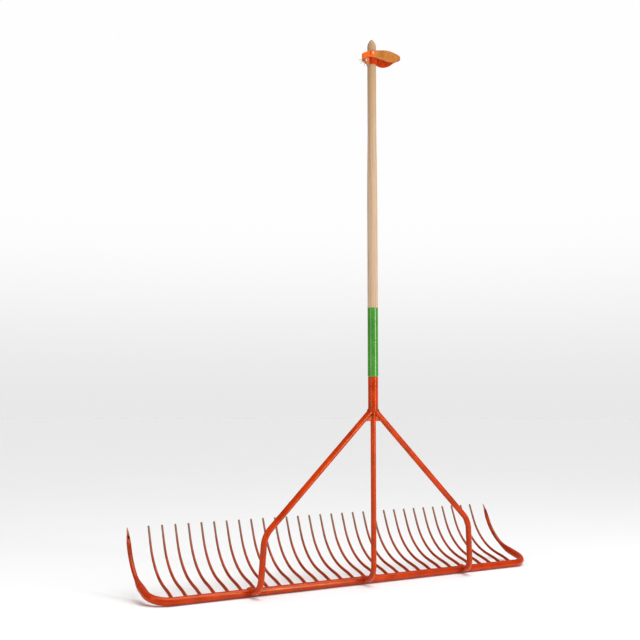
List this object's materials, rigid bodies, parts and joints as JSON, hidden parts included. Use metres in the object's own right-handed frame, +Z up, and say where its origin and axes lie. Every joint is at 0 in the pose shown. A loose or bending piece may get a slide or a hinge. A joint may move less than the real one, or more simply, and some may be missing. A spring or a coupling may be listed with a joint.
{
  "type": "leaf rake",
  "caption": "Wide landscape leaf rake: a long wooden handle in a welded three-strut steel frame, with a cross bar of curved spring tines and a leather hanging loop.",
  "frame": {"origin": "on the cross bar's centreline, midway between its two ends", "axes": "+X along the cross bar, +Y the way the tines leave the bar, +Z up along the handle"},
  "size_m": [1.207, 0.283, 1.5075],
  "materials": {
    "ash_wood": "fine sanded ash or beech, the foot dipped in glossy green paint",
    "orange_paint": "semi-gloss orange paint over welded steel",
    "tine_paint": "thin satin orange paint over spring steel, worn at the tips",
    "orange_leather": "dyed orange leather, bright fold",
    "tan_leather": "tan leather, orange-red on the inside",
    "tack_steel": "domed bright steel heads"
  },
  "bodies": {
    "rake": {"handle": "ash_wood", "socket_tube": "orange_paint", "left_strut": "orange_paint", "centre_strut": "orange_paint", "right_strut": "orange_paint", "left_web": "orange_paint", "right_web": "orange_paint", "cross_bar": "orange_paint", "end_tooth_left": "orange_paint", "end_tooth_right": "orange_paint", "tine_01": "tine_paint", "tine_02": "tine_paint", "tine_03": "tine_paint", "tine_04": "tine_paint", "tine_05": "tine_paint", "tine_06": "tine_paint", "tine_07": "tine_paint", "tine_08": "tine_paint", "tine_09": "tine_paint", "tine_10": "tine_paint", "tine_11": "tine_paint", "tine_12": "tine_paint", "tine_13": "tine_paint", "tine_14": "tine_paint", "tine_15": "tine_paint", "tine_16": "tine_paint", "tine_17": "tine_paint", "tine_18": "tine_paint", "tine_19": "tine_paint", "tine_20": "tine_paint", "tine_21": "tine_paint", "tine_22": "tine_paint", "tine_23": "tine_paint", "tine_24": "tine_paint", "tine_25": "tine_paint", "tine_26": "tine_paint", "tine_27": "tine_paint", "tine_28": "tine_paint", "tine_29": "tine_paint", "tine_30": "tine_paint", "tine_welds": "orange_paint", "left_foot_weld": "orange_paint", "centre_foot_weld": "orange_paint", "right_foot_weld": "orange_paint", "socket_welds": "orange_paint", "strap_collar": "orange_leather", "strap_fold": "orange_leather", "fold_tack": "tack_steel", "loop_rivet": "tack_steel"},
    "strap_loop_body": {"strap_loop": "tan_leather"}
  },
  "joints": [
    {"name": "hanging_loop_swing", "type": "hinge", "parent": "rake", "child": "strap_loop_body", "pos_m": [-0.007, -0.054, 1.4525], "axis": [0, 1, 0], "range_deg": [-85, 65]}
  ]
}
